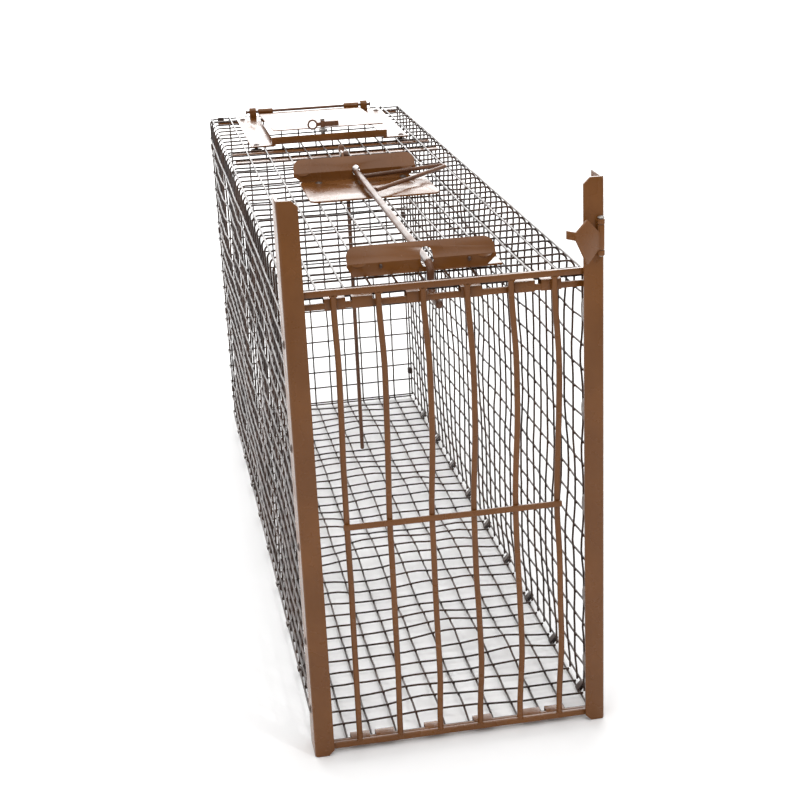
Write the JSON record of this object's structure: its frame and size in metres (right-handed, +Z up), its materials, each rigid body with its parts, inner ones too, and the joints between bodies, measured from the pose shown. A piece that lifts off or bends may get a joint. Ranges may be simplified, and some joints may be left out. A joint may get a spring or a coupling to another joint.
{
  "type": "live catch trap",
  "caption": "Long welded-wire cage trap with a drop door in side guides, an overhead trigger rod, a hanging trigger bar and a top bait door.",
  "frame": {"origin": "middle of the footprint, on the ground", "axes": "+Y from the drop door to the rear panel, +Z up, +X to the right seen from the door"},
  "size_m": [0.3106, 1.0944, 0.577],
  "materials": {
    "mesh_paint": "semi-gloss paint over welded wire",
    "frame_paint": "semi-gloss paint",
    "plate_paint": "semi-gloss paint",
    "rod_paint": "semi-gloss paint, rubbed where it slides",
    "washer_metal": "thin paint, worn",
    "rivet_metal": "paint over steel heads, worn",
    "pin_steel": "dull"
  },
  "bodies": {
    "cage": {"floor_mesh": "mesh_paint", "top_mesh": "mesh_paint", "left_mesh": "mesh_paint", "right_mesh": "mesh_paint", "rear_mesh": "mesh_paint", "edge_clips": "mesh_paint", "front_clips": "frame_paint", "left_upright": "frame_paint", "right_upright": "frame_paint", "header_bar": "frame_paint", "sill_bar": "frame_paint", "upright_washers": "washer_metal", "upright_rivets": "rivet_metal", "roof_straps": "plate_paint", "lock_lugs": "plate_paint", "lock_pin": "pin_steel", "front_bracket": "plate_paint", "middle_bracket": "plate_paint", "bracket_rivets": "rivet_metal", "bracket_washers": "washer_metal", "pivot_ear": "plate_paint", "trigger_pin": "pin_steel", "bait_frame_left": "plate_paint", "bait_frame_right": "plate_paint", "bait_sill": "plate_paint", "frame_rivets": "rivet_metal", "frame_washers": "washer_metal", "hinge_lugs": "plate_paint", "hinge_rod": "rod_paint", "latch_stud": "pin_steel"},
    "drop_door": {"door_top_bar": "frame_paint", "door_bottom_bar": "frame_paint", "door_mid_bar": "frame_paint", "door_rods": "frame_paint"},
    "lock": {"lock_plate": "plate_paint"},
    "trigger": {"trigger_bar": "rod_paint"},
    "slide_rod": {"trigger_rod": "rod_paint", "rod_handle": "rod_paint", "rod_pegs": "rod_paint"},
    "bait_door": {"bait_flap": "plate_paint"},
    "latch": {"bait_latch": "rod_paint"}
  },
  "joints": [
    {"name": "door_lift", "type": "slide", "parent": "cage", "child": "drop_door", "axis": [0, 0, 1], "range_m": [0, 0.463]},
    {"name": "lock_swing", "type": "hinge", "parent": "cage", "child": "lock", "pos_m": [0.149, -0.52513, 0.52], "axis": [0, 0, 1], "range_deg": [-35, 60]},
    {"name": "trigger_swing", "type": "hinge", "parent": "cage", "child": "trigger", "pos_m": [-0.012, 0.02807, 0.5085], "axis": [-1, 0, 0], "range_deg": [0, 28]},
    {"name": "rod_slide", "type": "slide", "parent": "cage", "child": "slide_rod", "axis": [0, -1, 0], "range_m": [0, 0.00841]},
    {"name": "bait_door_swing", "type": "hinge", "parent": "cage", "child": "bait_door", "pos_m": [0, 0.50007, 0.492], "axis": [-1, 0, 0], "range_deg": [0, 105]},
    {"name": "latch_turn", "type": "hinge", "parent": "cage", "child": "latch", "pos_m": [-0.008, 0.27307, 0.505], "axis": [0, 0, 1], "range_deg": [0, 90]}
  ],
  "couplings": [
    {"joint": "rod_slide", "follows": "trigger_swing", "m_per_rad": 0.0172}
  ]
}
